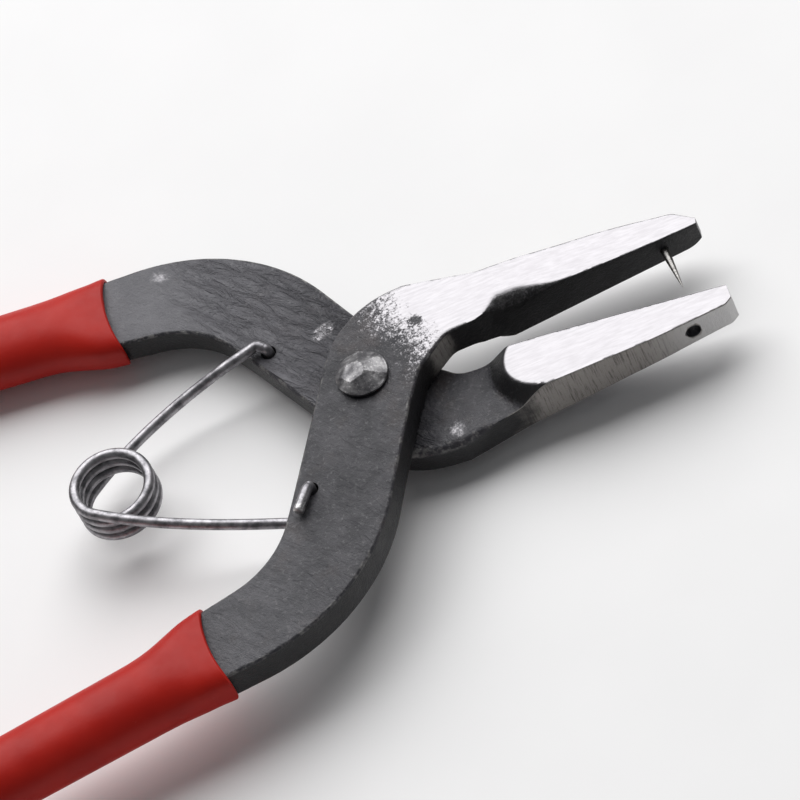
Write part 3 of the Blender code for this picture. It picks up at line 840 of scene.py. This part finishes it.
def lever(name, left_runs, right_runs, thickness, tip_drop, turned_over, fields_of, finish):
    """A forged lever skinned from many sections, with slight relief on its black skin."""
    rings, values = [], []
    for left, right in zip(edge_points(left_runs), edge_points(right_runs)):
        ring = []
        for point, zone, place in lever_section(left, right, thickness, tip_drop):
            found = fields_of(zone, place)
            dark = 1.0 - smooth(found[0])
            inward = 1 if zone.startswith("low") else -1
            dent = 0.0
            for wave in RELIEF_WAVES:
                dent += RELIEF * dark * (0.5 + 0.5 * noise.noise(point * wave))
            point.z += inward * dent
            ring.append(turn_over(point) if turned_over else point)
            # The "upright" value masks where shade is painted: the sides, the front jaw's
            # shoulder and the boss's steep wall
            on_side = zone in ("left", "right")
            on_shoulder = tip_drop and zone == "top_right" and place.x > SHOULDER_START
            wall = boss(place.x, place.y) if zone.startswith("low") else 0.0
            on_wall = BOSS_WALL[0] < wall < BOSS_WALL[1]
            values.append((*found, 1.0 if on_side or on_shoulder or on_wall else 0.0))
        rings.append(ring)
    builder = bmesh.new()
    skin_rings(builder, rings)
    return add_piece(name, builder, finish, dict(zip(FIELDS, zip(*values))))


def hole_rods(sign):
    """Cutters for the pivot hole and the spring's hole of one lever."""
    rise = Vector((0.0, 0.0, FRONT_THICKNESS + BACK_THICKNESS))
    spot = Vector((SPRING_HOLE[0], sign * SPRING_HOLE[1], 0.0))
    return [
        rod(-rise, rise, PIVOT_HOLE_RADIUS), rod(spot - rise, spot + rise, SPRING_HOLE_RADIUS),
    ]


def levers(finish):
    """Both levers with their holes."""
    front = lever(
        "front_lever_forging", FRONT_LEFT, FRONT_RIGHT, FRONT_THICKNESS, TIP_DROP, False,
        front_fields, finish,
    )
    foot, ahead = needle_axis()
    socket = rod(foot - ahead * (NEEDLE_ROOT + LAP_GAP), foot + ahead, NEEDLE_SOCKET)
    drill(front, [*hole_rods(-1), socket], finish)
    back = lever(
        "back_lever_forging", BACK_LEFT, BACK_RIGHT, BACK_THICKNESS, 0.0, True,
        back_fields, finish,
    )
    eye = Vector((EYE_MIDDLE[0], -EYE_MIDDLE[1], 0.0))
    way = Vector((math.sin(EYE_TILT), -math.cos(EYE_TILT), 0.0))
    bore = rod(eye - way * EYE_REACH, eye + way * EYE_REACH, EYE_RADIUS)
    drill(back, [*hole_rods(1), bore], finish)
    settle(front, "front_lever", "front_lever")
    settle(back, "back_lever", "back_lever")


# --- Rivet and needle ---

def hammered_head(seat, sign):
    """Rings of one head from its seat to its crown, with the hammered flats cut in."""
    rise = HEAD_HEIGHT - HEAD_SIDE
    dome = (HEAD_RADIUS ** 2 + rise ** 2) / (2 * rise)
    widest = math.asin(HEAD_RADIUS / dome)
    profile = [
        (SHANK_RADIUS, 0.0), (HEAD_RADIUS - HEAD_CHAMFER, 0.0), (HEAD_RADIUS, HEAD_CHAMFER),
    ]
    for step in range(HEAD_STEPS):
        angle = widest * (1 - step / HEAD_STEPS)
        profile.append((dome * math.sin(angle), HEAD_HEIGHT - dome * (1 - math.cos(angle))))
    profile.append((CROWN_RADIUS, HEAD_HEIGHT))
    planes = []
    for bearing, tilt, depth in HAMMER_FLATS:
        lean, turn = math.radians(tilt), math.radians(bearing * sign)
        normal = Vector((
            math.sin(lean) * math.cos(turn), math.sin(lean) * math.sin(turn), math.cos(lean),
        ))
        planes.append((normal, dome - depth))
    centre = Vector((0.0, 0.0, HEAD_HEIGHT - dome))
    rings = []
    for radius, height in profile:
        ring = []
        for side in range(HEAD_SIDES):
            turn = 2 * math.pi * side / HEAD_SIDES
            point = Vector((radius * math.cos(turn), radius * math.sin(turn), height))
            if height > HEAD_SIDE / 2:
                for normal, reach in planes:
                    over = (point - centre).dot(normal) - reach
                    point -= normal * max(over, 0.0)
                point.z = max(point.z, HEAD_SIDE / 2)
            ring.append(Vector((point.x, point.y, seat + sign * point.z)))
        rings.append(ring)
    return rings


def rivet(finish):
    """The pivot rivet with a hammered head on either side."""
    upper = hammered_head(FRONT_THICKNESS + HEAD_CLEARANCE, 1)
    lower = hammered_head(-BACK_THICKNESS - HEAD_CLEARANCE, -1)
    builder = bmesh.new()
    skin_rings(builder, upper[::-1] + lower)
    piece = add_piece("pivot_rivet_hammered", builder, finish, sharp_angle=HEAD_SHARP_ANGLE)
    settle(piece, "pivot_rivet", "back_lever")


def needle_axis():
    """The needle's foot on the jaw's face, and the way it points."""
    foot = Vector((*NEEDLE_FOOT, 0.0))
    return foot, Vector((math.sin(NEEDLE_TILT), -math.cos(NEEDLE_TILT), 0.0))


def needle(finish):
    """A needle ground to a point, on a straight root."""
    foot, ahead = needle_axis()
    side = Vector((0.0, 0.0, 1.0))
    other = ahead.cross(side)
    point_length = NEEDLE_LENGTH - NEEDLE_STRAIGHT
    stations = [(-NEEDLE_ROOT, 1.0), (0.0, 1.0)]
    for step in range(NEEDLE_STEPS + 1):
        share = step / NEEDLE_STEPS
        thickness = max((1 - share) ** NEEDLE_TAPER_POWER, NEEDLE_BLUNTNESS)
        stations.append((NEEDLE_STRAIGHT + point_length * share, thickness))
    rings = []
    for along, share in stations:
        radius = NEEDLE_RADIUS * share
        rings.append(circle(foot + ahead * along, side, other, radius, NEEDLE_SIDES))
    builder = bmesh.new()
    skin_rings(builder, rings)
    settle(add_piece("needle_ground", builder, finish), "needle", "front_lever")


# --- Spring ---

def bent(points, steps=6):
    """A smooth curve through points, by Catmull and Rom's rule."""
    curve = []
    for index in range(len(points) - 1):
        before = points[max(index - 1, 0)]
        here, there = points[index], points[index + 1]
        after = points[min(index + 2, len(points) - 1)]
        for step in range(steps):
            t = step / steps
            curve.append(0.5 * (
                2 * here + (there - before) * t
                + (2 * before - 5 * here + 4 * there - after) * t * t
                + (3 * here - before - 3 * there + after) * t ** 3
            ))
    curve.append(points[-1])
    return curve


def coil_point(sign, swept):
    """A point of the coil, by how many degrees of turn lie between it and the leg."""
    half_rise = COIL_TURNS * COIL_PITCH / 2
    turn = math.radians(LEG_ANGLE + swept)
    return Vector((
        COIL_MIDDLE[0] + COIL_RADIUS * math.cos(turn),
        sign * COIL_MIDDLE[1] + COIL_RADIUS * math.sin(turn),
        -half_rise + half_rise * swept / (COIL_TURNS * 180.0),
    ))


def leg_and_hook(sign, thickness):
    """Centreline from the coil to the bent-over end."""
    start = coil_point(sign, 0.0)
    leaving = (start - coil_point(sign, 0.5)).normalized()
    level = WIRE_RADIUS + HOOK_CLEARANCE
    hole = Vector((*SPRING_HOLE, 0.0))
    landing = hole + Vector((*HOOK_LANDING, level))
    control = start + leaving * LEG_BOW

    def along(share):
        return start * (1 - share) ** 2 + control * 2 * share * (1 - share) + landing * share ** 2

    leg = []
    for step in range(1, LEG_STEPS):
        point = along(step / LEG_STEPS)
        height = along(min(step / LEG_STEPS / LEG_LEVEL, 1.0)).z
        point.y -= LEG_LEAN * (height - point.z)
        point.z = height
        leg.append(point)
    under = -(thickness + HOOK_CLEARANCE + WIRE_RADIUS)
    stub = Vector((*HOOK_STUB, 0.0))
    bend = stub.normalized() * HOOK_RADIUS

    def over_hole(sideways, height):
        return hole + sideways + Vector((0.0, 0.0, height))

    hook = bent([
        leg[-1],
        landing,
        over_hole(Vector((*HOOK_LANDING, 0.0)) * HOOK_BEND, level - HOOK_DROP),
        over_hole(Vector(), level - HOOK_RADIUS),
        over_hole(Vector(), under + HOOK_RADIUS),
        over_hole(bend * HOOK_BEND, under + HOOK_RADIUS * HOOK_BEND),
        over_hole(bend, under),
        over_hole(stub, under),
    ])
    return leg + hook[1:]


def half_stations(sign, thickness):
    """(centre, radius) along one half of the spring, from inside the break to its end."""
    whole = COIL_TURNS * 180.0
    joint, joint_angle, joint_radius = whole - BREAK_ANGLE, -SOCKET_ANGLE, SOCKET_RADIUS
    if sign > 0:
        joint, joint_angle, joint_radius = whole, TONGUE_ANGLE, TONGUE_RADIUS
    stations = []
    for step in range(JOINT_STEPS + 1):
        swept = joint + joint_angle * (1 - step / JOINT_STEPS)
        stations.append((coil_point(sign, swept), joint_radius))
    if sign > 0:
        stations.append((coil_point(sign, whole - BREAK_ANGLE), TONGUE_RADIUS))
    count = math.ceil(whole / DEGREES_PER_POINT)
    for step in range(count + 1):
        swept = (whole - BREAK_ANGLE) * (1 - step / count)
        stations.append((coil_point(sign, swept), WIRE_RADIUS))
    for point in leg_and_hook(sign, thickness):
        stations.append((point, WIRE_RADIUS))
    last, before = stations[-1][0], stations[-2][0]
    ahead = (last - before).normalized()
    for past, thinner in STUB_END:
        stations.append((last + ahead * past, WIRE_RADIUS - thinner))
    return stations


def wire(name, node, body, sign, thickness, finish):
    """Round wire along its stations, its rings carried along without twist.

    The tongue and the socket keep the first ring's way, as the path turns back after them.
    """
    stations = half_stations(sign, thickness)
    if sign < 0:
        stations = [(turn_over(point), radius) for point, radius in stations]
    rings, values, side = [], [], None
    for index, (point, radius) in enumerate(stations):
        before = stations[max(index - 1, 0)][0]
        after = stations[min(index + 1, len(stations) - 1)][0]
        moved = (after - before).length > NO_DISTANCE
        if side is None or (moved and radius > SOCKET_RADIUS):
            way = (after - before).normalized()
        side = way.orthogonal() if side is None else side - way * side.dot(way)
        side.normalize()
        other = way.cross(side)
        rings.append(circle(point, side, other, radius, WIRE_SIDES))
        from_end = len(stations) - 1 - index
        bright = 1.0 if from_end < len(STUB_END) else max(CUT_SHEEN - from_end * CUT_FADE, 0.0)
        values.extend([bright] * WIRE_SIDES)
    builder = bmesh.new()
    skin_rings(builder, rings)
    settle(add_piece(name, builder, finish, {"ground": values}), node, body)


# --- Sleeves ---

def soft_section(centre, across, half_width, half_height, power, dip=Vector()):
    """A superellipse square to a handle, whose two flat sides can be set back by a dip."""
    ring = []
    for step in range(SLEEVE_SIDES):
        turn = 2 * math.pi * step / SLEEVE_SIDES
        cosine, sine = math.cos(turn), math.sin(turn)
        sideways = half_width * math.copysign(abs(cosine) ** (2 / power), cosine)
        upwards = half_height * math.copysign(abs(sine) ** (2 / power), sine)
        point = centre + across * sideways + Vector((0.0, 0.0, upwards))
        ring.append(point + dip * (1 - (sideways / half_width) ** 2))
    return ring


def sleeve(name, node, body, thickness, turned_over, finish):
    """A dipped cup over the handle, flared and lipped at its rim."""
    left_edge = evenly(rounded_run(HOLLOW_HANDLE), SLEEVE_STEPS)
    right_edge = evenly(rounded_run(OUTER_HANDLE), SLEEVE_STEPS)
    sections = []
    for left, right in zip(left_edge, right_edge):
        middle = (left + right) / 2
        across = (right - left).normalized().to_3d()
        sections.append((Vector((*middle, thickness / 2)), across, (right - left).length / 2))
    half = thickness / 2
    reach = SLEEVE_GAP + SLEEVE_WALL
    end, end_across, end_width = sections[0]
    rings = []
    for step in range(CLOSED_END_STEPS):
        angle = math.pi / 2 * step / CLOSED_END_STEPS
        share = max(math.sin(angle), CLOSED_END_TIP) ** CLOSED_END_POWER
        rings.append(soft_section(
            end - Vector((SLEEVE_END * math.cos(angle), 0.0, 0.0)), end_across,
            (end_width + reach) * share, (half + reach + SLEEVE_CROWN) * share, SLEEVE_POWER,
        ))
    rim = sections[-1][0]
    ahead = (rim - sections[-2][0]).normalized()

    def dip_at(centre):
        return ahead * -RIM_DIP * smooth(1 - (rim - centre).length / RIM_DIP_REACH)

    for centre, across, half_width in sections:
        flare = FLARE * smooth(1 - (rim - centre).length / FLARE_START)
        softness = smooth((rim - centre).length / SOFTENING)
        rings.append(soft_section(
            centre, across, half_width + reach + flare,
            half + reach + flare + SLEEVE_CROWN * softness,
            RIM_POWER + (SLEEVE_POWER - RIM_POWER) * softness, dip_at(centre),
        ))
    centre, across, half_width = sections[-1]
    wall = SLEEVE_WALL + FLARE
    for step in range(1, LIP_STEPS + 1):
        angle = math.pi / 2 * step / LIP_STEPS
        inward = wall / 2 * (1 - math.cos(angle))
        out = LIP * math.sin(angle)
        rings.append(soft_section(
            centre + ahead * out, across, half_width + reach + FLARE - inward,
            half + reach + FLARE - inward, RIM_POWER, dip_at(rim),
        ))
    bore = [(centre + ahead * LIP * LIP_INSIDE, across, half_width, dip_at(rim))]
    for centre, across, half_width in sections[::-BORE_STRIDE]:
        bore.append((centre, across, half_width, dip_at(centre)))
    for centre, across, half_width, dip in bore:
        rings.append(soft_section(
            centre, across, half_width + SLEEVE_GAP, half + SLEEVE_GAP, BORE_POWER, dip,
        ))
    if turned_over:
        rings = [[turn_over(point) for point in ring] for ring in rings]
    builder = bmesh.new()
    skin_rings(builder, rings)
    settle(add_piece(name, builder, finish), node, body)


# --- Studio ---

def add_floor():
    """A pale sheet that the tool lies on."""
    builder = bmesh.new()
    bmesh.ops.create_grid(builder, x_segments=2, y_segments=2, size=FLOOR_HALF_WIDTH)
    mesh = bpy.data.meshes.new("floor")
    builder.to_mesh(mesh)
    builder.free()
    mesh.materials.append(floor_paper())
    floor = add_object("floor", mesh)
    floor.location.z = -FLOOR_DROP


def add_lights():
    """A big softbox behind and above, and a dim room."""
    light = bpy.data.lights.new("key_softbox", "AREA")
    light.shape = "RECTANGLE"
    light.size, light.size_y = KEY_SIZE
    light.energy = KEY_POWER
    lamp = add_object("key_softbox", light)
    lamp.location = KEY_PLACE
    lamp.rotation_euler = (KEY_AIM - KEY_PLACE).to_track_quat("-Z", "Y").to_euler()
    room = bpy.data.worlds.new("room")
    room.use_nodes = True
    backdrop = room.node_tree.nodes["Background"]
    backdrop.inputs["Color"].default_value = ROOM_COLOUR
    backdrop.inputs["Strength"].default_value = ROOM_STRENGTH
    bpy.context.scene.world = room


def add_camera():
    """The photograph's angle: from the front, high up, rolled to the left."""
    azimuth, fall = math.radians(CAMERA_AZIMUTH), math.radians(CAMERA_FALL)
    forward = Vector((
        -math.sin(azimuth) * math.cos(fall), math.cos(azimuth) * math.cos(fall), -math.sin(fall),
    ))
    level = Vector((math.cos(azimuth), math.sin(azimuth), 0.0))
    upright = level.cross(forward)
    roll = math.radians(CAMERA_ROLL)
    right = level * math.cos(roll) + upright * math.sin(roll)
    up = right.cross(forward)
    turned = Matrix((right, up, -forward)).transposed().to_4x4()
    turned.translation = Vector(CAMERA_PLACE) * MM + PIVOT
    view = bpy.data.cameras.new("camera")
    view.sensor_width = CAMERA_SENSOR
    view.lens = CAMERA_LENS
    view.clip_end = CAMERA_CLIP
    camera = add_object("camera", view)
    camera.matrix_world = turned
    bpy.context.scene.camera = camera


def build():
    """Every piece, then the studio round them."""
    levers(lever_steel())
    rivet(hammered_steel())
    needle(needle_steel())
    steel = wire_steel()
    wire("spring_back_wire", "spring_back_half", "spring_back", 1, BACK_THICKNESS, steel)
    wire("spring_front_wire", "spring_front_half", "spring_front", -1, FRONT_THICKNESS, steel)
    vinyl = dipped_vinyl()
    sleeve("front_sleeve", "front_grip", "front_lever", FRONT_THICKNESS, False, vinyl)
    sleeve("back_sleeve", "back_grip", "back_lever", BACK_THICKNESS, True, vinyl)
    add_floor()
    add_lights()
    add_camera()
    bpy.context.scene.view_settings.view_transform = "Standard"


build()
bpy.context.view_layer.update()
